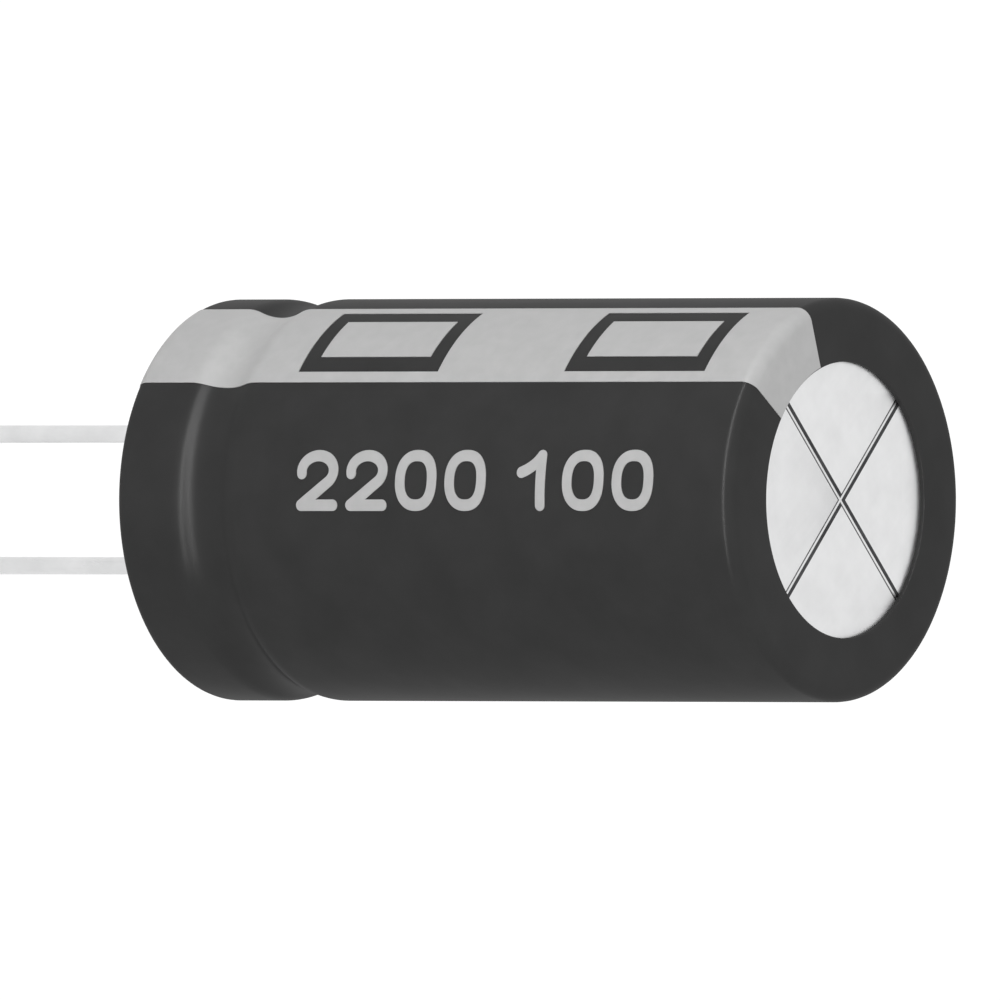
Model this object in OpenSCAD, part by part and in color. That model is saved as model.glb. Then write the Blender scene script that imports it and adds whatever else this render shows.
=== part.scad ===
// Radial aluminium electrolytic capacitor in an 18 x 33.5 mm can.
// The can's axis is Z. The seating plane under the base is z = 0, the vent end is up
// and the leads run down, the negative one at -X, below the printed stripe.

/* [Case] */
// Diameter over the sleeve
case_d = 18.3; // [16:0.1:22]
// Length over the sleeve, from the seating plane to the vent end
case_l = 34.2; // [30:0.1:46]
// Radius of the rounded edge at both ends, over the sleeve
edge_r = 0.6; // [0.4:0.05:1]

/* [Sleeve] */
// Wall of the shrunk plastic sleeve
sleeve_wall = 0.25; // [0.15:0.01:0.35]
// Diameter of the window that leaves the vent bare
window_d = 12.5; // [10:0.1:14]
// Width of the flat lip that the sleeve turns in under the base
sleeve_lip_w = 0.9; // [0.6:0.05:1]

/* [Bead] */
// Height of the middle of the bead groove above the seating plane
bead_z = 4.9; // [4:0.05:6]
// Depth of the bead groove
bead_depth = 0.42; // [0.2:0.01:0.6]
// Radius of the round floor of the groove, over the sleeve
bead_floor_r = 2.5; // [1.5:0.1:3.5]
// Radius of the groove's rounded shoulders, over the sleeve
bead_shoulder_r = 1.65; // [1:0.05:2]

/* [Can] */
// Wall of the drawn aluminium can
can_wall = 0.35; // [0.25:0.01:0.45]
// Thickness of the can's flat end
can_end_t = 0.45; // [0.35:0.01:0.7]
// Width of the rim curled in under the bung
curl_w = 1.5; // [1.2:0.05:2]
// Height of the curled rim's upturned edge
curl_h = 0.9; // [0.7:0.05:1.4]
// Width of the scored lines of the cross vent, at the surface
vent_w = 0.4; // [0.3:0.01:0.5]
// Width of the flat bottom of the scored lines
vent_floor_w = 0.12; // [0.06:0.01:0.2]
// Depth of the scored lines
vent_depth = 0.07; // [0.05:0.005:0.25]
// Diameter that the scored cross spans
vent_span = 13; // [11:0.1:15]
// Turn of the cross from the line between the leads
vent_turn = 8.4; // [0:0.05:45]

/* [Polarity stripe] */
// Angle that the printed stripe spans
stripe_angle = 35.5; // [25:0.1:50]
// Thickness of the print
stripe_t = 0.03; // [0.02:0.005:0.06]
// Height of the lower mark's middle above the seating plane
mark_rise = 12.73; // [11.8:0.01:13]
// Distance of the upper mark's middle below the vent end
mark_drop = 6.72; // [6:0.01:8]
// Length of each mark along the case
mark_l = 7.76; // [5:0.01:8.4]
// Angle left between a mark and each edge of the stripe
mark_margin = 3.7; // [2:0.1:5]
// Width of a mark's two lines that run round the case
mark_line = 0.84; // [0.4:0.01:1.1]
// Width of a mark's two lines that run along the case
mark_side = 0.92; // [0.4:0.01:1.1]

/* [Bung] */
// Height of the rubber bung's wall above the bead groove
bung_collar = 0.9; // [0.6:0.05:2]
// Depth of the bung's face above the seating plane, inside the curled rim
bung_recess = 0.4; // [0.2:0.05:0.8]
// Radius of the bung's upper edge
bung_edge_r = 0.4; // [0.2:0.05:0.55]

/* [Leads] */
// Spacing of the two leads
lead_pitch = 7.5; // [6.5:0.1:9]
// Diameter of the tinned wire
lead_d = 0.8; // [0.6:0.05:1]
// Length of the negative lead below the seating plane
negative_lead_l = 15; // [4:0.5:25]
// Length of the positive lead below the seating plane
positive_lead_l = 20; // [5:0.5:30]
// Diameter of the weld that joins the wire to its tab
weld_d = 1.2; // [1.05:0.05:1.4]
// Height of that weld
weld_h = 1.35; // [1.2:0.05:2]
// Length of the weld that shows below the bung's face
weld_show = 0.15; // [0.12:0.01:0.3]

/* [Tabs] */
// Diameter of the tab's round stem
stem_d = 2; // [1.6:0.05:2.4]
// Height of the round stem above the bung
stem_rise = 0.4; // [0.2:0.05:1]
// Height over which the stem is beaten flat
taper_h = 1.2; // [0.8:0.1:2]
// Width of the flat paddle
paddle_w = 2.6; // [2.2:0.05:3.2]
// Thickness of the flat paddle
paddle_t = 0.3; // [0.2:0.01:0.5]
// Distance that the paddle stops below the foils' upper edge
paddle_drop = 5.5; // [3:0.5:10]

/* [Winding] */
// Diameter of the hole left by the winding pin
core_d = 3; // [2:0.1:4.5]
// Thickness of the etched anode foil
anode_t = 0.15; // [0.1:0.01:0.25]
// Thickness of the cathode foil
cathode_t = 0.1; // [0.05:0.01:0.2]
// Thickness of each paper separator
paper_t = 0.13; // [0.08:0.01:0.2]
// Space between one layer and the next
layer_gap = 0.02; // [0.01:0.005:0.04]
// Width by which the paper stands past the foils at each end
paper_margin = 0.8; // [0.4:0.1:1.5]
// Thickness of the closing tape
tape_t = 0.1; // [0.05:0.01:0.2]
// Width by which the tape stops short of the paper at each end
tape_margin = 4; // [1:0.5:6]
// Space between the tabs' shoulders and the winding
winding_rise = 0.3; // [0.1:0.05:1.5]
// Space between the winding and the can's end
winding_head = 1; // [0.6:0.1:3]
// Least space between the winding and the can's wall
winding_side = 0.25; // [0.1:0.05:0.6]

/* [Fits] */
// Clearance between the bung and what it seals
seal_gap = 0.02; // [0.01:0.005:0.05]
// Radial clearance of a weld in the bung's mouth
lead_gap = 0.1; // [0.05:0.01:0.2]
// Clearance round a paddle in the winding
paddle_gap = 0.05; // [0.03:0.01:0.15]

/* [Hidden] */
$fn = 96;

ARC_STEPS = 6; // straight steps that draw one rounded corner or shoulder
SPILL = 1; // how far a cutting shape runs past what it cuts
STRIPE_SIDE = 180; // direction of the stripe and the negative lead
PRINT_SKIP = 2; // steps of the base's rounded edge that the print leaves bare

case_r = case_d / 2;
window_r = window_d / 2;
lip_in_r = case_r - edge_r - sleeve_lip_w;

cavity_inset = sleeve_wall + can_wall;
can_r = case_r - sleeve_wall;
can_top_z = case_l - sleeve_wall;
cavity_r = case_r - cavity_inset;
cavity_top_z = can_top_z - can_end_t;
curl_in_r = can_r - curl_w;
curl_out_r = curl_in_r + can_wall;
curl_top_z = sleeve_wall + curl_h;

bead_reach = bead_floor_r + bead_shoulder_r;
bead_half = sqrt(2 * bead_reach * bead_depth - bead_depth * bead_depth);
bead_bend = asin(bead_half / bead_reach);

mark_angle = stripe_angle - 2 * mark_margin;
mark_side_angle = mark_side / case_r * 180 / PI;

bung_inset = cavity_inset + seal_gap;
bung_r = case_r - bung_inset;
bung_top_z = bead_z + bead_half + bung_collar;

lead_r = lead_d / 2;
weld_r = weld_d / 2;
weld_low_z = bung_recess - weld_show;
weld_z = weld_low_z + weld_h;
weld_face_r = lead_r + (weld_r - lead_r) * weld_show / weld_h;
stem_r = stem_d / 2;
stem_hole_r = stem_r + seal_gap;
taper_low_z = bung_top_z + stem_rise;
paddle_low_z = taper_low_z + taper_h;

paper_low_z = paddle_low_z + winding_rise;
paper_top_z = cavity_top_z - winding_head;
foil_low_z = paper_low_z + paper_margin;
foil_top_z = paper_top_z - paper_margin;
paddle_top_z = foil_top_z - paddle_drop;

// The four strips are wound together, so each turn grows by all of them.
anode_off = 0;
inner_paper_off = anode_off + anode_t + layer_gap;
cathode_off = inner_paper_off + paper_t + layer_gap;
outer_paper_off = cathode_off + cathode_t + layer_gap;
turn_pitch = outer_paper_off + paper_t + layer_gap;
core_r = core_d / 2;
turns = floor((cavity_r - winding_side - tape_t - core_r) / turn_pitch - 0.75);

// Points on an arc from angle a0 to angle a1, or its centre alone when it has no radius.
function arc(cr, cz, r, a0, a1, steps = ARC_STEPS) =
    r <= 0 ? [[cr, cz]] :
    [for (i = [0:steps]) let (a = a0 + (a1 - a0) * i / steps) [cr + r * cos(a), cz + r * sin(a)]];

function without_ends(points) = [for (i = [1:len(points) - 2]) points[i]];
function without_first(points, n) = [for (i = [n:len(points) - 1]) points[i]];
function reversed(points) = [for (i = [len(points) - 1:-1:0]) points[i]];

// The bead groove in section, going up, at a depth of inset under the sleeve's surface.
function bead_line(inset) =
    let (shoulder_cr = case_r - bead_shoulder_r, floor_cr = case_r - bead_depth + bead_floor_r)
    concat(
        arc(shoulder_cr, bead_z - bead_half, bead_shoulder_r - inset, 0, bead_bend),
        without_ends(arc(floor_cr, bead_z, bead_floor_r + inset, 180 + bead_bend, 180 - bead_bend, 2 * ARC_STEPS)),
        arc(shoulder_cr, bead_z + bead_half, bead_shoulder_r - inset, -bead_bend, 0)
    );

// The whole side of the case in section, going up, from one rounded edge to the other.
function case_line(inset) = concat(
    arc(case_r - edge_r, edge_r, edge_r - inset, -90, 0),
    bead_line(inset),
    arc(case_r - edge_r, case_l - edge_r, edge_r - inset, 0, 90)
);

module sleeve() {
    color("#3a3a3a") rotate_extrude() polygon(concat(
        case_line(0),
        [[window_r, case_l], [window_r, case_l - sleeve_wall]],
        reversed(case_line(sleeve_wall)),
        [[lip_in_r, sleeve_wall], [lip_in_r, 0]]
    ));
}

// A block that spans an angle about the stripe's middle and a height about z, through the print.
module print_block(angle, z, height) {
    rotate([0, 0, STRIPE_SIDE - angle / 2]) rotate_extrude(angle = angle)
        translate([case_r - SPILL, z - height / 2]) square([2 * SPILL, height]);
}

// The hollow rectangle that is left unprinted, where the sleeve shows through the stripe.
module mark(z) {
    difference() {
        print_block(mark_angle, z, mark_l);
        print_block(mark_angle - 2 * mark_side_angle, z, mark_l - 2 * mark_line);
    }
}

module polarity_stripe() {
    color("#bbbbbb") difference() {
        rotate([0, 0, STRIPE_SIDE - stripe_angle / 2]) rotate_extrude(angle = stripe_angle) polygon(concat(
            without_first(case_line(-stripe_t), PRINT_SKIP),
            [[window_r, case_l + stripe_t], [window_r, case_l]],
            reversed(without_first(case_line(0), PRINT_SKIP))
        ));
        mark(mark_rise);
        mark(case_l - mark_drop);
    }
}

// One score across the can's end, with sloping sides and a flat bottom.
module vent_score(angle) {
    low_half = vent_floor_w / 2;
    high_half = low_half + (vent_w - vent_floor_w) / 2 * (1 + SPILL / vent_depth);
    translate([0, 0, can_top_z]) rotate([0, 0, angle]) rotate([90, 0, 90])
        translate([0, 0, -vent_span / 2]) linear_extrude(vent_span) polygon([
            [-low_half, -vent_depth], [low_half, -vent_depth], [high_half, SPILL], [-high_half, SPILL]
        ]);
}

// The drawn cup, beaded onto the bung, with its rim curled in and up under the bung.
module can() {
    color("#e0e0e0") difference() {
        rotate_extrude() polygon(concat(
            case_line(sleeve_wall),
            [[0, can_top_z], [0, cavity_top_z], [cavity_r, cavity_top_z]],
            reversed(bead_line(cavity_inset)),
            [[cavity_r, cavity_inset], [curl_out_r, cavity_inset]],
            arc(curl_in_r + can_wall / 2, curl_top_z - can_wall / 2, can_wall / 2, 0, 180),
            arc(curl_out_r, cavity_inset, can_wall, 180, 270)
        ));
        vent_score(vent_turn);
        vent_score(vent_turn + 90);
    }
}

// A stepped hole for one lead: a mouth that widens with the weld, a shoulder and the stem's bore.
module lead_hole(side) {
    shoulder_z = weld_z - seal_gap;
    translate([side * lead_pitch / 2, 0, 0]) rotate_extrude() polygon([
        [0, bung_recess - SPILL], [weld_face_r + lead_gap, bung_recess - SPILL],
        [weld_face_r + lead_gap, bung_recess], [weld_r + lead_gap, shoulder_z],
        [stem_hole_r, shoulder_z], [stem_hole_r, bung_top_z + SPILL], [0, bung_top_z + SPILL]
    ]);
}

module bung() {
    color("#1f1f21") difference() {
        rotate_extrude() polygon(concat(
            [[0, bung_recess], [curl_in_r - seal_gap, bung_recess]],
            [[curl_in_r - seal_gap, curl_top_z + seal_gap], [curl_out_r + seal_gap, curl_top_z + seal_gap]],
            [[curl_out_r + seal_gap, bung_inset], [bung_r, bung_inset]],
            bead_line(bung_inset),
            arc(bung_r - bung_edge_r, bung_top_z - bung_edge_r, bung_edge_r, 0, 90),
            [[0, bung_top_z]]
        ));
        lead_hole(-1);
        lead_hole(1);
    }
}

// A tinned wire, swelling into the weld under its tab.
module lead(side, length) {
    color("#dedede") translate([side * lead_pitch / 2, 0, 0]) {
        translate([0, 0, -length]) cylinder(r = lead_r, h = length + weld_low_z);
        translate([0, 0, weld_low_z]) cylinder(r1 = lead_r, r2 = weld_r, h = weld_h);
    }
}

// An aluminium stem, beaten flat above the bung into a paddle that lies against its foil.
module tab(side) {
    color("#c6c9cd") translate([side * lead_pitch / 2, 0, 0]) {
        translate([0, 0, weld_z]) cylinder(r = stem_r, h = taper_low_z - weld_z);
        intersection() {
            translate([0, 0, taper_low_z])
                cylinder(r1 = stem_r, r2 = norm([paddle_w, paddle_t]) / 2, h = taper_h);
            rotate([90, 0, 0]) translate([0, 0, -paddle_w]) linear_extrude(2 * paddle_w) polygon([
                [-stem_r, taper_low_z], [stem_r, taper_low_z],
                [paddle_t / 2, paddle_low_z], [-paddle_t / 2, paddle_low_z]
            ]);
        }
        translate([-paddle_t / 2, -paddle_w / 2, paddle_low_z])
            cube([paddle_t, paddle_w, paddle_top_z - paddle_low_z]);
    }
}

// The room that a paddle takes up between the turns.
module paddle_pocket(side) {
    pocket_t = paddle_t + 2 * paddle_gap;
    pocket_w = paddle_w + 2 * paddle_gap;
    translate([side * lead_pitch / 2 - pocket_t / 2, -pocket_w / 2, paddle_low_z])
        cube([pocket_t, pocket_w, paddle_top_z + paddle_gap - paddle_low_z]);
}

// One strip of the roll as a spiral of half turns. The centre steps to and fro by half the pitch.
module strip(off, thickness, low_z, top_z, first = 0, last = turns) {
    translate([-turn_pitch / 4, 0, 0]) for (half = [2 * first:2 * last - 1])
        translate([half % 2 * turn_pitch / 2, 0, low_z]) rotate([0, 0, half % 2 * 180])
            rotate_extrude(angle = 180) translate([core_r + off + half * turn_pitch / 2, 0])
                square([thickness, top_z - low_z]);
}

module wound(off, thickness, low_z, top_z) {
    difference() {
        strip(off, thickness, low_z, top_z);
        paddle_pocket(-1);
        paddle_pocket(1);
    }
}

module anode_foil() { color("#8f959b") wound(anode_off, anode_t, foil_low_z, foil_top_z); }
module inner_separator() { color("#e6dabd") wound(inner_paper_off, paper_t, paper_low_z, paper_top_z); }
module cathode_foil() { color("#b4b9be") wound(cathode_off, cathode_t, foil_low_z, foil_top_z); }
module outer_separator() { color("#e6dabd") wound(outer_paper_off, paper_t, paper_low_z, paper_top_z); }

module closing_tape() {
    color("#d3bf7f")
        strip(turn_pitch, tape_t, paper_low_z + tape_margin, paper_top_z - tape_margin, turns - 1);
}

sleeve();
polarity_stripe();
can();
bung();
lead(-1, negative_lead_l);  // negative_lead
lead(1, positive_lead_l);  // positive_lead
tab(-1);  // negative_tab
tab(1);  // positive_tab
anode_foil();
inner_separator();
cathode_foil();
outer_separator();
closing_tape();
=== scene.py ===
# Radial aluminium electrolytic capacitor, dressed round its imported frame.
# Lengths in the dictionaries are millimetres, angles are degrees and lamp powers are watts.
import math

import bmesh
import bpy
from mathutils import Matrix, Vector


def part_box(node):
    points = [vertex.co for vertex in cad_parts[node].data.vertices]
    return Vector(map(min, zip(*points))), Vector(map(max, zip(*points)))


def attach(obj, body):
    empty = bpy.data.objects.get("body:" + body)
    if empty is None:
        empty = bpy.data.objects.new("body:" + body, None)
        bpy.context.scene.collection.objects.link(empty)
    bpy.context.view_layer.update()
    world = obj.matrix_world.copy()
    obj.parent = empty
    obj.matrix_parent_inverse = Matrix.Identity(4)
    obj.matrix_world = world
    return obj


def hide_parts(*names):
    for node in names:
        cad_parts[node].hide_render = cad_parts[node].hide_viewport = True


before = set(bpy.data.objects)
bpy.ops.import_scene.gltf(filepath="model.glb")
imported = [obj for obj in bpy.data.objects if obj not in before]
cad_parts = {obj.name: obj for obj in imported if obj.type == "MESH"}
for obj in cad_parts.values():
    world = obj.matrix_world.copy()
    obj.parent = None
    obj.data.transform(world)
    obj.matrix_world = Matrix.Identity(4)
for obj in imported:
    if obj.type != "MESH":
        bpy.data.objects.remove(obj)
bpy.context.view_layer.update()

mm = 0.001
weldDistance = 0.0002 * mm     # points closer together than this become one
scene = bpy.context.scene
scene.view_settings.view_transform = "Standard"


def towards(azimuth, elevation):
    # Unit vector that points to an azimuth and an elevation
    azimuth, elevation = math.radians(azimuth), math.radians(elevation)
    level = Vector((math.cos(azimuth), math.sin(azimuth), 0))
    return level * math.cos(elevation) + Vector((0, 0, math.sin(elevation)))


# Camera
shot = {
    "facing": 233.4,           # direction round the case that faces the camera
    "elevation": 35.264,       # isometric
    "aimHeight": 15.04,        # point of the axis in the middle of the picture
    "frameWidth": 45.45,       # width that the picture spans
    "lens": 1650,              # long, so that parallel edges stay parallel
    "sensor": 36,
    "nearest": 10, "furthest": 10000,    # limits of what the camera sees
}
aimPoint = Vector((0, 0, shot["aimHeight"] * mm))


def makeCamera():
    back = towards(shot["facing"], shot["elevation"])
    up = towards(shot["facing"] - 90, 0)     # the case lies across the picture
    data = bpy.data.cameras.new("camera")
    data.lens, data.sensor_width = shot["lens"], shot["sensor"]
    data.clip_start, data.clip_end = shot["nearest"] * mm, shot["furthest"] * mm
    distance = shot["lens"] / shot["sensor"] * shot["frameWidth"] * mm
    camera = bpy.data.objects.new("camera", data)
    scene.collection.objects.link(camera)
    axes = Matrix((up.cross(back), up, back)).transposed().to_4x4()
    camera.matrix_world = Matrix.Translation(aimPoint + back * distance) @ axes
    scene.camera = camera


makeCamera()
print("camera: made")


# Node helpers, used by the materials and by the geometry trees
def addNode(tree, kind, values=(), **settings):
    node = tree.nodes.new(kind)
    for name, value in settings.items():
        setattr(node, name, value)
    for name, value in dict(values).items():
        if isinstance(value, bpy.types.NodeSocket):
            tree.links.new(value, node.inputs[name])
        else:
            node.inputs[name].default_value = value
    return node


def mathNode(tree, operation, first, second=0.0):
    return addNode(tree, "ShaderNodeMath", {0: first, 1: second}, operation=operation).outputs[0]


# Finishes: each has noises of its own, and its colour, roughness and bumps follow them.
# A noise's scale is per metre. A bump is its noise, its depth and its strength.
noiseLow, noiseHigh = 0.3, 0.7           # a noise seldom leaves this range


def grey(level):
    return (level, level, level)


def metalLook(dark, light, smooth, rough, scale, depth, stretch=None, turn=0):
    # The grain makes the gloss uneven, and clouds five times as large tint the metal
    return {
        "sockets": {"Metallic": 1.0},
        "noises": {
            "grain": {"scale": scale, "detail": 4, "stretch": stretch, "turn": turn},
            "cloud": {"scale": scale / 5},
        },
        "color": ("cloud", dark, light),
        "roughness": ("grain", smooth, rough),
        "bumps": [("grain", depth, 0.5)],
    }


looks = {
    # Satin film, rippled by its shrinking, with a faint grain along the case
    "shrinkFilm": {
        "sockets": {"Specular IOR Level": 0.0, "Coat Weight": 0.17, "Coat Roughness": 0.26},
        "noises": {
            "ripple": {"scale": 420},
            "grain": {"scale": 2600, "detail": 2, "stretch": (1, 1, 0.06)},
        },
        "color": ("ripple", grey(0.03), grey(0.035)),
        "roughness": ("ripple", 0.6, 0.7),
        "bumps": [("ripple", 0.012, 0.35), ("grain", 0.006, 0.5)],
    },
    # Screen-printed ink: matt, a little uneven in its cover
    "printInk": {
        "sockets": {"Specular IOR Level": 0.3},
        "noises": {"mottle": {"scale": 1500, "detail": 4}, "tooth": {"scale": 5200, "detail": 2}},
        "color": ("mottle", grey(0.415), grey(0.45)),
        "roughness": ("mottle", 0.5, 0.62),
        "bumps": [("tooth", 0.004, 0.4)],
    },
    # Bare end of the can, with faint lines across it
    "drawnAluminium": metalLook(
        dark=(0.73, 0.732, 0.736), light=(0.78, 0.782, 0.786), smooth=0.34, rough=0.44,
        scale=4200, depth=0.003, stretch=(1, 0.05, 1), turn=20,
    ),
    # Sloping sides of the scores: painted shade, much darker than the metal round them
    "paintedShadeScoreSides": metalLook(
        dark=(0.05, 0.051, 0.053), light=(0.09, 0.091, 0.093), smooth=0.5, rough=0.62,
        scale=6000, depth=0.004,
    ),
    # Leads, with fine lines along the wire
    "tinnedWire": metalLook(
        dark=(0.69, 0.692, 0.695), light=(0.76, 0.762, 0.765), smooth=0.26, rough=0.4,
        scale=3600, depth=0.006, stretch=(1, 1, 0.08),
    ),
    # Tabs
    "pressedAluminium": metalLook(
        dark=(0.62, 0.63, 0.65), light=(0.72, 0.73, 0.75), smooth=0.38, rough=0.52,
        scale=2600, depth=0.01, stretch=(1, 1, 0.3),
    ),
    # Etched foils: matt, the anode's greyer from its oxide
    "anodeEtch": metalLook(
        dark=(0.25, 0.265, 0.29), light=(0.31, 0.325, 0.35), smooth=0.6, rough=0.78,
        scale=9000, depth=0.006,
    ),
    "cathodeEtch": metalLook(
        dark=(0.42, 0.44, 0.46), light=(0.5, 0.52, 0.54), smooth=0.52, rough=0.7,
        scale=9000, depth=0.005,
    ),
    # Moulded rubber: matt, with fine pores
    "sealRubber": {
        "sockets": {"Specular IOR Level": 0.3},
        "noises": {"cloud": {"scale": 500}, "pores": {"scale": 3800, "detail": 4, "roughness": 0.6}},
        "color": ("cloud", (0.011, 0.011, 0.012), (0.017, 0.017, 0.018)),
        "roughness": ("pores", 0.62, 0.8),
        "bumps": [("pores", 0.02, 0.6)],
    },
    # Paper soaked in electrolyte: fibres lie every way, and the wet darkens it in clouds
    "soakedPaper": {
        "sockets": {},
        "noises": {"cloud": {"scale": 700}, "fibre": {"scale": 9000, "detail": 5, "roughness": 0.7}},
        "color": ("cloud", (0.62, 0.54, 0.38), (0.78, 0.71, 0.55)),
        "roughness": ("fibre", 0.45, 0.65),
        "bumps": [("fibre", 0.01, 0.7)],
    },
    # Adhesive tape: glossy, with a haze
    "closingTape": {
        "sockets": {"Coat Weight": 0.3, "Coat Roughness": 0.2},
        "noises": {"haze": {"scale": 1200}},
        "color": ("haze", (0.60, 0.47, 0.19), (0.68, 0.55, 0.25)),
        "roughness": ("haze", 0.3, 0.42),
        "bumps": [("haze", 0.01, 0.4)],
    },
}


def noise(tree, place, scale, detail=3, roughness=0.5, stretch=None, turn=0):
    # A noise in the piece's own coordinates, drawn out along the axes whose stretch is small
    if stretch:
        place = addNode(tree, "ShaderNodeMapping", {
            "Vector": place, "Scale": stretch, "Rotation": (0, 0, math.radians(turn)),
        }).outputs["Vector"]
    return addNode(tree, "ShaderNodeTexNoise", {
        "Vector": place, "Scale": scale, "Detail": detail, "Roughness": roughness,
    }).outputs["Fac"]


def tone(tree, factor, dark, light):
    ramp = addNode(tree, "ShaderNodeValToRGB", {"Fac": factor})
    dim, bright = ramp.color_ramp.elements
    dim.position, bright.position = noiseLow, noiseHigh
    dim.color, bright.color = (*dark, 1), (*light, 1)
    return ramp.outputs["Color"]


def spread(tree, factor, low, high):
    return addNode(tree, "ShaderNodeMapRange", {
        "Value": factor, "From Min": noiseLow, "From Max": noiseHigh, "To Min": low, "To Max": high,
    }).outputs["Result"]


def bump(tree, height, depth, strength, under):
    # A bump, laid over the one under it where there is one
    values = {"Height": height, "Distance": depth * mm, "Strength": strength}
    if under:
        values["Normal"] = under
    return addNode(tree, "ShaderNodeBump", values).outputs["Normal"]


def makeFinish(name, look):
    material = bpy.data.materials.new(name)
    material.use_nodes = True
    tree = material.node_tree
    shader = tree.nodes["Principled BSDF"]
    for socket, value in look["sockets"].items():
        shader.inputs[socket].default_value = value
    place = addNode(tree, "ShaderNodeTexCoord").outputs["Object"]
    noises = {label: noise(tree, place, **values) for label, values in look["noises"].items()}
    label, dark, light = look["color"]
    tree.links.new(tone(tree, noises[label], dark, light), shader.inputs["Base Color"])
    label, smooth, rough = look["roughness"]
    tree.links.new(spread(tree, noises[label], smooth, rough), shader.inputs["Roughness"])
    normal = None
    for label, depth, strength in look["bumps"]:
        normal = bump(tree, noises[label], depth, strength, normal)
    tree.links.new(normal, shader.inputs["Normal"])
    return material


finishes = {name: makeFinish(name, look) for name, look in looks.items()}
print("finishes:", ", ".join(finishes))


# Geometry trees
def newTree(name, sockets):
    tree = bpy.data.node_groups.new(name, "GeometryNodeTree")
    tree.interface.new_socket("Geometry", in_out="INPUT", socket_type="NodeSocketGeometry")
    for label, kind in sockets.items():
        tree.interface.new_socket(label, in_out="INPUT", socket_type="NodeSocket" + kind)
    tree.interface.new_socket("Geometry", in_out="OUTPUT", socket_type="NodeSocketGeometry")
    return tree, addNode(tree, "NodeGroupInput").outputs


def endTree(tree, geometry, material):
    real = addNode(tree, "GeometryNodeRealizeInstances", {"Geometry": geometry}).outputs[0]
    painted = addNode(tree, "GeometryNodeSetMaterial", {"Geometry": real, "Material": material})
    addNode(tree, "NodeGroupOutput", {"Geometry": painted.outputs[0]})


def onCylinder(tree, radius, angle, height):
    # The place at a radius, an angle and a height
    return addNode(tree, "ShaderNodeCombineXYZ", {
        "X": mathNode(tree, "MULTIPLY", radius, mathNode(tree, "COSINE", angle)),
        "Y": mathNode(tree, "MULTIPLY", radius, mathNode(tree, "SINE", angle)),
        "Z": height,
    }).outputs[0]


def latheTree():
    # Turns a section of points (radius, 0, height) about Z, in as many columns as there are angles
    tree, given = newTree("lathe", {
        "Columns": "Int", "Start": "Float", "Sweep": "Float", "Weld": "Float", "Material": "Material",
    })
    size = addNode(tree, "GeometryNodeAttributeDomainSize", {"Geometry": given["Geometry"]})
    rows = size.outputs["Point Count"]
    grid = addNode(tree, "GeometryNodeMeshGrid", {
        "Vertices X": mathNode(tree, "ADD", given["Columns"], 1.0), "Vertices Y": rows,
    }).outputs["Mesh"]
    index = addNode(tree, "GeometryNodeInputIndex").outputs[0]
    middle = mathNode(tree, "ADD", index, 0.5)    # half a point on, so that no quotient is rounded down
    column = mathNode(tree, "FLOOR", mathNode(tree, "DIVIDE", middle, rows))
    row = mathNode(tree, "SUBTRACT", index, mathNode(tree, "MULTIPLY", column, rows))
    sample = addNode(tree, "GeometryNodeSampleIndex", {
        "Geometry": given["Geometry"], "Index": row,
        "Value": addNode(tree, "GeometryNodeInputPosition").outputs[0],
    }, data_type="FLOAT_VECTOR", domain="POINT")
    section = addNode(tree, "ShaderNodeSeparateXYZ", {"Vector": sample.outputs[0]}).outputs
    share = mathNode(tree, "DIVIDE", column, given["Columns"])
    angle = mathNode(tree, "ADD", given["Start"], mathNode(tree, "MULTIPLY", given["Sweep"], share))
    turned = addNode(tree, "GeometryNodeSetPosition", {
        "Geometry": grid, "Position": onCylinder(tree, section["X"], angle, section["Z"]),
    }).outputs[0]
    merged = addNode(tree, "GeometryNodeMergeByDistance", {"Geometry": turned, "Distance": given["Weld"]})
    endTree(tree, merged.outputs[0], given["Material"])
    return tree


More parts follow.
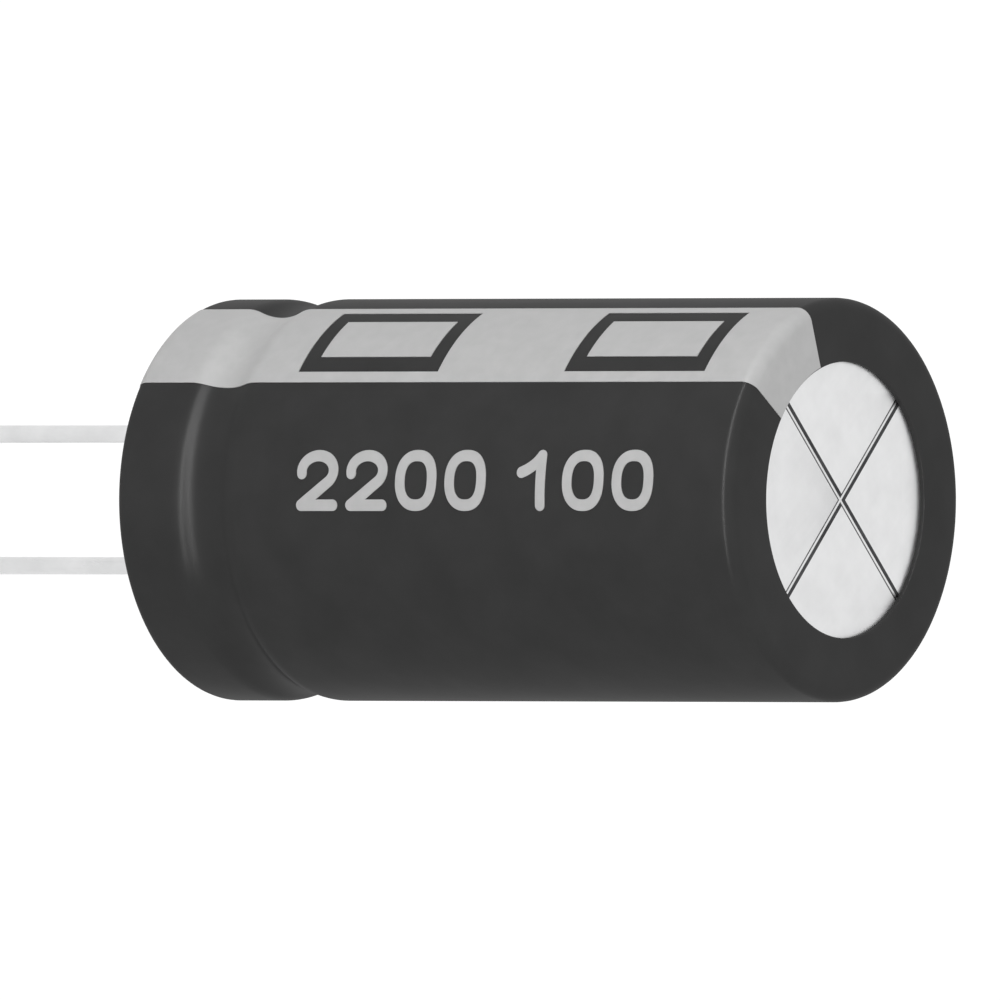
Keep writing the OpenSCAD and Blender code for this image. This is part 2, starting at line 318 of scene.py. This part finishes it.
def strokeTree():
    # Flat strokes with round ends, joined into one shape and laid round a cylinder.
    # A stroke's X runs up the case and its Y runs back round it.
    tree, given = newTree("printedStrokes", {
        "Width": "Float", "Thickness": "Float", "End Sides": "Int",
        "Radius": "Float", "Direction": "Float", "Material": "Material",
    })
    curve = addNode(tree, "GeometryNodeMeshToCurve", {"Mesh": given["Geometry"]}).outputs[0]
    curve = addNode(tree, "GeometryNodeSetCurveNormal", {"Curve": curve}, mode="Z_UP").outputs[0]
    band = addNode(tree, "GeometryNodeCurvePrimitiveQuadrilateral", {
        "Width": given["Width"], "Height": given["Thickness"],
    }).outputs[0]
    lines = addNode(tree, "GeometryNodeCurveToMesh", {
        "Curve": curve, "Profile Curve": band, "Fill Caps": True,
    }).outputs[0]
    disc = addNode(tree, "GeometryNodeMeshCylinder", {
        "Vertices": given["End Sides"], "Depth": given["Thickness"],
        "Radius": mathNode(tree, "MULTIPLY", given["Width"], 0.5),
    }).outputs["Mesh"]
    ends = addNode(tree, "GeometryNodeInstanceOnPoints", {
        "Points": curve, "Instance": disc,
        "Selection": addNode(tree, "GeometryNodeCurveEndpointSelection").outputs[0],
    }).outputs[0]
    ends = addNode(tree, "GeometryNodeRealizeInstances", {"Geometry": ends}).outputs[0]
    union = addNode(
        tree, "GeometryNodeMeshBoolean", {"Self Intersection": True}, operation="UNION", solver="EXACT",
    )
    tree.links.new(lines, union.inputs["Mesh 2"])
    tree.links.new(ends, union.inputs["Mesh 2"])
    flat = addNode(tree, "ShaderNodeSeparateXYZ", {
        "Vector": addNode(tree, "GeometryNodeInputPosition").outputs[0],
    }).outputs
    lift = mathNode(tree, "ADD", flat["Z"], mathNode(tree, "MULTIPLY", given["Thickness"], 0.5))
    bend = mathNode(tree, "DIVIDE", flat["Y"], given["Radius"])
    angle = mathNode(tree, "SUBTRACT", given["Direction"], bend)
    wrapped = addNode(tree, "GeometryNodeSetPosition", {
        "Geometry": union.outputs[0],
        "Position": onCylinder(tree, mathNode(tree, "ADD", given["Radius"], lift), angle, flat["X"]),
    }).outputs[0]
    endTree(tree, wrapped, given["Material"])
    return tree


def runTree(name, tree, source, values):
    # Runs a tree on a mesh and returns the result as a plain mesh
    carrier = bpy.data.objects.new(name, source)
    scene.collection.objects.link(carrier)
    modifier = carrier.modifiers.new(name, "NODES")
    modifier.node_group = tree
    for socket in tree.interface.items_tree:
        if socket.in_out == "INPUT" and socket.name in values:
            modifier[socket.identifier] = values[socket.name]
    graph = bpy.context.evaluated_depsgraph_get()
    result = bpy.data.meshes.new_from_object(carrier.evaluated_get(graph))
    bpy.data.objects.remove(carrier)
    bpy.data.meshes.remove(source)
    if result.materials[0] is None:          # the empty slot that a grid brings along
        result.materials.pop(index=0)
    result.name = name
    return result


def lineMesh(lines):
    # Open or closed lines of points in millimetres, as (points, closed)
    vertices, edges = [], []
    for points, closed in lines:
        first = len(vertices)
        vertices += [Vector(p) * mm for p in points]
        edges += [(i, i + 1) for i in range(first, len(vertices) - 1)]
        if closed:
            edges.append((len(vertices) - 1, first))
    mesh = bpy.data.meshes.new("line")
    mesh.from_pydata(vertices, edges, [])
    return mesh


lathe = latheTree()
strokes = strokeTree()


def turn(name, section, columns, finish, start=0.0, sweep=360.0):
    source = lineMesh([([(r, 0, z) for r, z in section], False)])
    return runTree(name, lathe, source, {
        "Columns": columns, "Start": math.radians(start), "Sweep": math.radians(sweep),
        "Weld": weldDistance, "Material": finishes[finish],
    })


def dress(name, mesh, nodes=(), crease=32, move=(0, 0, 0)):
    # Cleans a closed shell, shades it and hangs it on the frame
    shell = bmesh.new()
    shell.from_mesh(mesh)
    bmesh.ops.remove_doubles(shell, verts=shell.verts, dist=weldDistance)
    bmesh.ops.dissolve_degenerate(shell, edges=shell.edges, dist=weldDistance)
    bmesh.ops.translate(shell, verts=shell.verts, vec=Vector(move) * mm)
    bmesh.ops.recalc_face_normals(shell, faces=shell.faces)
    openEdges = sum(not edge.is_manifold for edge in shell.edges)
    for face in shell.faces:
        face.smooth = True
    shell.to_mesh(mesh)
    shell.free()
    mesh.set_sharp_from_angle(angle=math.radians(crease))
    piece = bpy.data.objects.new(name, mesh)
    scene.collection.objects.link(piece)
    if nodes:
        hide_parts(*nodes)
    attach(piece, "root")
    triangles = sum(len(p.vertices) - 2 for p in mesh.polygons)
    print(f"{name}: {triangles} triangles, {openEdges} open edges")


# The case in section, which the sleeve, the can and the print all follow at their own depth
case = {
    "radius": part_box("sleeve")[1].y / mm, "length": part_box("sleeve")[1].z / mm,
    "edgeRadius": 0.6,
    "beadHeight": 4.9, "beadDepth": 0.42, "beadFloorRadius": 2.5, "beadShoulderRadius": 1.65,
    "beadFloorSteps": 16,
    "columns": 192,
}


def arc(centre, radius, start, end, steps=8):
    angles = [math.radians(start + (end - start) * i / steps) for i in range(steps + 1)]
    return [(centre[0] + radius * math.cos(a), centre[1] + radius * math.sin(a)) for a in angles]


def beadLine(inset):
    # The bead groove, going up, at a depth of inset under the sleeve's surface
    shoulder, floor, depth = case["beadShoulderRadius"], case["beadFloorRadius"], case["beadDepth"]
    reach = shoulder + floor
    half = math.sqrt(2 * reach * depth - depth * depth)
    bend = math.degrees(math.asin(half / reach))
    middle, shoulderRadius = case["beadHeight"], case["radius"] - shoulder
    floorCentre = (case["radius"] - depth + floor, middle)
    return (
        arc((shoulderRadius, middle - half), shoulder - inset, 0, bend)
        + arc(floorCentre, floor + inset, 180 + bend, 180 - bend, case["beadFloorSteps"])[1:-1]
        + arc((shoulderRadius, middle + half), shoulder - inset, -bend, 0)
    )


def caseLine(inset):
    edge, radius = case["edgeRadius"], case["radius"] - case["edgeRadius"]
    return (
        arc((radius, edge), edge - inset, -90, 0)
        + beadLine(inset)
        + arc((radius, case["length"] - edge), edge - inset, 0, 90)
    )


# Sleeve
sleeve = {"wall": 0.25, "windowRadius": 6.25, "lipRadius": 7.65, "cutEdge": 0.07, "cutSteps": 4}


def makeSleeve():
    wall, cut, steps = sleeve["wall"], sleeve["cutEdge"], sleeve["cutSteps"]
    window, lip, top = sleeve["windowRadius"], sleeve["lipRadius"], case["length"]
    section = (
        [(lip, wall)]
        + arc((lip + cut, cut), cut, 180, 270, steps)
        + caseLine(0)
        + arc((window + cut, top - cut), cut, 90, 180, steps)
        + [(window, top - wall)]
        + caseLine(wall)[::-1]
        + [(lip, wall)]
    )
    mesh = turn("sleeve_film", section, case["columns"], "shrinkFilm")
    dress("sleeve_film", mesh, ["sleeve"])


makeSleeve()


# Polarity stripe: a thin print whose unprinted rectangles show the film
stripe = {
    "middle": 180, "angle": 35.5, "thickness": 0.03,
    "lowMark": 12.73, "highMarkDrop": 6.72,       # middles of the marks, from the base and the top
    "markLength": 7.76, "markMargin": 3.7,
    "markLine": 0.84, "markSide": 0.92,           # width of their lines round and along the case
    "bareSteps": 2,            # steps of the base's rounded edge without print
    "step": 1.5,               # widest column, in degrees
}


def divided(marks, step):
    # The marks in order, with even steps between them
    values = [marks[0]]
    for low, high in zip(marks, marks[1:]):
        count = math.ceil((high - low) / step)
        values += [low + (high - low) * i / count for i in range(1, count + 1)]
    return values


def stripeLine(heights):
    # The print's outer line up the case, with a point at each of the heights
    line = caseLine(-stripe["thickness"])[stripe["bareSteps"]:]
    cut = next(i for i, point in enumerate(line) if point[1] > heights[-1])
    wall = [(line[cut][0], height) for height in heights]
    window = (sleeve["windowRadius"] + sleeve["cutEdge"], line[-1][1])
    return line[:cut] + wall + line[cut:] + [window]


def makeStripe():
    half = stripe["angle"] / 2
    outer = half - stripe["markMargin"]
    inner = outer - math.degrees(stripe["markSide"] / case["radius"])
    reach = stripe["markLength"] / 2
    innerReach = reach - stripe["markLine"]
    middles = [stripe["lowMark"], case["length"] - stripe["highMarkDrop"]]
    line = stripeLine([m + end for m in middles for end in (-reach, -innerReach, innerReach, reach)])
    angles = divided([-half, -outer, -inner, inner, outer, half], stripe["step"])

    def bare(angle, height):
        # Whether a place lies in the outline of a mark
        side, end = abs(angle), min(abs(height - middle) for middle in middles)
        return side < outer and end < reach and (side > inner or end > innerReach)

    sheet = bmesh.new()
    grid = []
    for radius, height in line:
        spots = [towards(stripe["middle"] + angle, 0) * radius for angle in angles]
        grid.append([sheet.verts.new((spot + Vector((0, 0, height))) * mm) for spot in spots])
    for i, (low, high) in enumerate(zip(line, line[1:])):
        for j, (left, right) in enumerate(zip(angles, angles[1:])):
            if not bare((left + right) / 2, (low[1] + high[1]) / 2):
                sheet.faces.new((grid[i][j], grid[i][j + 1], grid[i + 1][j + 1], grid[i + 1][j]))
    bmesh.ops.delete(sheet, geom=[v for v in sheet.verts if not v.link_faces], context="VERTS")
    bmesh.ops.solidify(sheet, geom=sheet.faces, thickness=stripe["thickness"] * mm)
    mesh = bpy.data.meshes.new("stripe_print")
    sheet.to_mesh(mesh)
    sheet.free()
    mesh.materials.append(finishes["printInk"])
    dress("stripe_print", mesh, ["polarity_stripe"])


makeStripe()


# Numbers printed round the case
numbers = {
    "direction": 227.8,        # middle of their height, round the case
    "height": 2.78, "stroke": 0.52, "thickness": 0.03,
    "widths": {"0": 2.28, "1": 1.58, "2": 2.28},
    "gaps": {"0": 0.46, "1": 0.95, "2": 0.46},    # space after each figure
    "words": [("2200", 10.2), ("100", 22.4)],     # figures and the height where they start
    "endSides": 40,
}
figures = {                    # shares of a figure's width and height
    "zeroPower": 0.84,         # below 1 a zero is squarer than an ellipse
    "zeroSteps": 56,
    "oneFlag": 0.66, "oneBend": (0.7, 0.78), "oneSteps": 12,
    "twoBowl": 0.31, "twoBend": (0.66, 0.36), "twoSteps": 8,
    "twoTurn": range(190, -50, -10),              # directions round the bowl
    "bendSteps": 14,
}


def curveTo(start, bend, end):
    # Points of a curve that leaves the start and reaches the end in the direction of the bend
    shares = [i / figures["bendSteps"] for i in range(1, figures["bendSteps"] + 1)]
    return [tuple(
        a * (1 - t) ** 2 + 2 * b * t * (1 - t) + c * t * t for a, b, c in zip(start, bend, end)
    ) for t in shares]


# Each figure is drawn by the middles of its strokes, as (points, closed), from its lower left corner
def drawZero(width, height):
    def rounded(value):
        return 1 + math.copysign(abs(value) ** figures["zeroPower"], value)

    angles = [math.tau * i / figures["zeroSteps"] for i in range(figures["zeroSteps"])]
    loop = [(width / 2 * rounded(math.cos(a)), height / 2 * rounded(math.sin(a))) for a in angles]
    return [(loop, True)]


def drawOne(width, height):
    across, up = figures["oneBend"]
    flag = (0, height * figures["oneFlag"])
    steps = figures["oneSteps"]
    return [
        ([flag] + curveTo(flag, (width * across, height * up), (width, height)), False),
        ([(width, height * i / steps) for i in range(steps + 1)], False),
    ]


def drawTwo(width, height):
    across, up = figures["twoBend"]
    bowl, steps = height * figures["twoBowl"], figures["twoSteps"]
    angles = [math.radians(a) for a in figures["twoTurn"]]
    top = [(width / 2 * (1 + math.cos(a)), height - bowl + bowl * math.sin(a)) for a in angles]
    tail = curveTo(top[-1], (width * across, height * up), (0, 0))
    return [(top + tail, False), ([(width * i / steps, 0) for i in range(steps + 1)], False)]


def makeNumbers():
    draw = {"0": drawZero, "1": drawOne, "2": drawTwo}
    stroke, lines = numbers["stroke"], []
    height = numbers["height"] - stroke
    for word, start in numbers["words"]:
        for figure in word:
            width = numbers["widths"][figure]
            for points, closed in draw[figure](width - stroke, height):
                lines.append(([(start + stroke / 2 + x, y - height / 2, 0) for x, y in points], closed))
            start += width + numbers["gaps"][figure]
    mesh = runTree("case_numbers", strokes, lineMesh(lines), {
        "Width": stroke * mm, "Thickness": numbers["thickness"] * mm, "End Sides": numbers["endSides"],
        "Radius": case["radius"] * mm, "Direction": math.radians(numbers["direction"]),
        "Material": finishes["printInk"],
    })
    dress("case_numbers", mesh)


makeNumbers()


# Can: drawn cup with a scored cross in its end and a curled rim under the bung
can = {
    "wall": 0.35, "endWall": 0.45, "curlWidth": 1.5, "curlHeight": 0.9,
    "scoreWidth": 0.4, "scoreFloor": 0.12, "scoreDepth": 0.07, "scoreSpan": 13, "scoreTurn": 8.4,
    "plateRadius": 6.8,        # the scored end is made apart, out to here
    "crease": 28,              # sharper folds than this keep an edge
}


def makePlate(mesh, top):
    # The flat end, with a cross of scores that have sloping sides and a flat bottom
    wide, narrow, depth = can["scoreWidth"] / 2, can["scoreFloor"] / 2, can["scoreDepth"]
    reach, rim, columns = can["scoreSpan"] / 2, can["plateRadius"], case["columns"]
    quarter = columns // 4
    plate = bmesh.new()

    def at(radius, side, height, turn):
        # A point that far out along an arm, and that far to its left
        angle = math.radians(can["scoreTurn"] + turn)
        x = radius * math.cos(angle) - side * math.sin(angle)
        y = radius * math.sin(angle) + side * math.cos(angle)
        return plate.verts.new(Vector((x, y, height)) * mm)

    arms = [90 * arm for arm in range(4)]
    corners = [at(wide, wide, top, turn) for turn in arms]
    lowCorners = [at(narrow, narrow, top - depth, turn) for turn in arms]
    lefts = [at(reach, wide, top, turn) for turn in arms]
    rights = [at(reach, -wide, top, turn) for turn in arms]
    lowLefts = [at(reach, narrow, top - depth, turn) for turn in arms]
    lowRights = [at(reach, -narrow, top - depth, turn) for turn in arms]
    ring = [at(rim, 0, top, 360 * step / columns) for step in range(columns)]
    plate.faces.new(lowCorners)
    for arm in range(4):
        after = (arm + 1) % 4
        border = [ring[(arm * quarter + i) % columns] for i in range(quarter + 1)]
        plate.faces.new([corners[arm], lefts[arm], *border, rights[after]])
        plate.faces.new([border[0], lefts[arm], rights[arm]])
        plate.faces.new([lowCorners[arm - 1], lowRights[arm], lowLefts[arm], lowCorners[arm]])
        # Sloping sides of the scores, which take the dark finish of painted shade
        slopes = [
            [lowCorners[arm], lowLefts[arm], lefts[arm], corners[arm]],
            [lowLefts[arm], lowRights[arm], rights[arm], lefts[arm]],
            [lowRights[arm], lowCorners[arm - 1], corners[arm - 1], rights[arm]],
        ]
        for slope in slopes:
            plate.faces.new(slope).material_index = 1
    plate.from_mesh(mesh)                    # the rest of the can joins it
    plate.to_mesh(mesh)
    plate.free()
    # Second slot: the dark finish, painted shade on the scores' sides
    mesh.materials.append(finishes["paintedShadeScoreSides"])


def makeCan():
    inset, wall = sleeve["wall"], can["wall"]
    inside = inset + wall
    top = case["length"] - inset
    curlIn = case["radius"] - inset - can["curlWidth"]
    curlOut = curlIn + wall
    curlTop = inset + can["curlHeight"]
    ceiling = top - can["endWall"]
    cavity = case["radius"] - inside
    section = (
        [(can["plateRadius"], top)]
        + caseLine(inset)[::-1]
        + arc((curlOut, inside), wall, 270, 180)
        + arc((curlIn + wall / 2, curlTop - wall / 2), wall / 2, 180, 0)
        + [(curlOut, inside), (cavity, inside)]
        + beadLine(inside)
        + [(cavity, ceiling), (0, ceiling)]
    )
    mesh = turn("can_shell", section, case["columns"], "drawnAluminium", can["scoreTurn"])
    makePlate(mesh, top)
    dress("can_shell", mesh, ["can"], can["crease"])


makeCan()


# Leads: tinned wire with a cut tip, swelling into the weld under its tab
lead = {
    "radius": 0.4, "weldLow": 0.25, "weldRadius": 0.6, "tipEdge": 0.06, "tipSteps": 4, "columns": 48,
}


def makeLead(node):
    low, high = (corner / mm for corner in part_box(node))
    tip, radius = lead["tipEdge"], lead["radius"]
    section = (
        [(0, low.z)]
        + arc((radius - tip, low.z + tip), tip, 270, 360, lead["tipSteps"])
        + [(radius, lead["weldLow"]), (lead["weldRadius"], high.z), (0, high.z)]
    )
    mesh = turn(node + "_wire", section, lead["columns"], "tinnedWire")
    dress(node + "_wire", mesh, [node], move=((low.x + high.x) / 2, 0, 0))


makeLead("negative_lead")
makeLead("positive_lead")


# Pieces that keep their own shape and get their finish here
nodeFinishes = {
    "bung": "sealRubber",
    "negative_tab": "pressedAluminium", "positive_tab": "pressedAluminium",
    "anode_foil": "anodeEtch", "cathode_foil": "cathodeEtch",
    "inner_separator": "soakedPaper", "outer_separator": "soakedPaper",
    "closing_tape": "closingTape",
}
for nodeName, finishName in nodeFinishes.items():
    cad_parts[nodeName].material_slots[0].material = finishes[finishName]
print("kept nodes:", ", ".join(nodeFinishes))


# Studio
studio = {
    "roomLight": 0.92,         # soft light from all round
    "floorHeight": -20.0, "floorSize": 600, "floorColor": 0.42,
    "floorGlow": 0.66,         # lifts the floor to white where it is seen, and lights nothing
    "lampDistance": 420,
}
longLamp = {"width": 1400, "height": 24, "azimuth": 208, "elevation": 6}
lamps = {
    "key": {"power": 0.1, "width": 160, "height": 160, "azimuth": 198, "elevation": 20},
    "strip": {"power": 1.3, **longLamp},
    # Shows only as a reflection in the film and its print, where it draws the bead and the rounded edge
    "glint": {"power": 6.0, **longLamp, "glossOn": ["sleeve_film", "stripe_print", "case_numbers"]},
}


def seenDirectly(tree):
    # 1 for rays from the camera, off a glossy surface or through a clear one
    path = addNode(tree, "ShaderNodeLightPath").outputs
    seen = mathNode(tree, "MAXIMUM", path["Is Camera Ray"], path["Is Glossy Ray"])
    return mathNode(tree, "MAXIMUM", seen, path["Is Transmission Ray"])


def makeWorld():
    world = bpy.data.worlds.new("studio")
    scene.world = world
    world.use_nodes = True
    tree = world.node_tree
    tree.nodes.clear()
    light = addNode(tree, "ShaderNodeBackground", {"Color": (1, 1, 1, 1), "Strength": studio["roomLight"]})
    white = addNode(tree, "ShaderNodeBackground", {"Color": (1, 1, 1, 1), "Strength": 1.0})
    both = addNode(tree, "ShaderNodeMixShader", {
        0: seenDirectly(tree), 1: light.outputs[0], 2: white.outputs[0],
    })
    addNode(tree, "ShaderNodeOutputWorld", {"Surface": both.outputs[0]})


def floorFinish():
    material = bpy.data.materials.new("floorPaper")
    material.use_nodes = True
    tree = material.node_tree
    tree.nodes.clear()
    paint = addNode(tree, "ShaderNodeBsdfDiffuse", {"Color": (*grey(studio["floorColor"]), 1)}).outputs[0]
    glow = addNode(tree, "ShaderNodeEmission", {
        "Strength": mathNode(tree, "MULTIPLY", seenDirectly(tree), studio["floorGlow"]),
    }).outputs[0]
    front = addNode(tree, "ShaderNodeAddShader", {0: paint, 1: glow}).outputs[0]
    clear = addNode(tree, "ShaderNodeBsdfTransparent").outputs[0]
    below = addNode(tree, "ShaderNodeNewGeometry").outputs["Backfacing"]    # open to a view from below
    paper = addNode(tree, "ShaderNodeMixShader", {0: below, 1: front, 2: clear}).outputs[0]
    addNode(tree, "ShaderNodeOutputMaterial", {"Surface": paper})
    return material


def makeFloor():
    half, height = studio["floorSize"] / 2 * mm, studio["floorHeight"] * mm
    mesh = bpy.data.meshes.new("floor")
    corners = [(-half, -half, height), (half, -half, height), (half, half, height), (-half, half, height)]
    mesh.from_pydata(corners, [], [(0, 1, 2, 3)])
    mesh.materials.append(floorFinish())
    floor = bpy.data.objects.new("floor", mesh)
    scene.collection.objects.link(floor)


def makeLamp(name, lamp):
    data = bpy.data.lights.new(name, "AREA")
    data.shape, data.energy = "RECTANGLE", lamp["power"]
    data.size, data.size_y = lamp["width"] * mm, lamp["height"] * mm
    piece = bpy.data.objects.new(name, data)
    scene.collection.objects.link(piece)
    direction = towards(lamp["azimuth"], lamp["elevation"])
    piece.location = aimPoint + direction * studio["lampDistance"] * mm
    piece.rotation_euler = direction.to_track_quat("Z", "Y").to_euler()
    piece.visible_camera = False
    if "glossOn" in lamp:
        piece.visible_diffuse = False
        glossy = bpy.data.collections.new(name + "Receivers")
        for receiver in lamp["glossOn"]:
            glossy.objects.link(bpy.data.objects[receiver])
        piece.light_linking.receiver_collection = glossy


makeWorld()
makeFloor()
for lampName, lampValues in lamps.items():
    makeLamp(lampName, lampValues)
print("studio: made, lamps:", ", ".join(lamps))
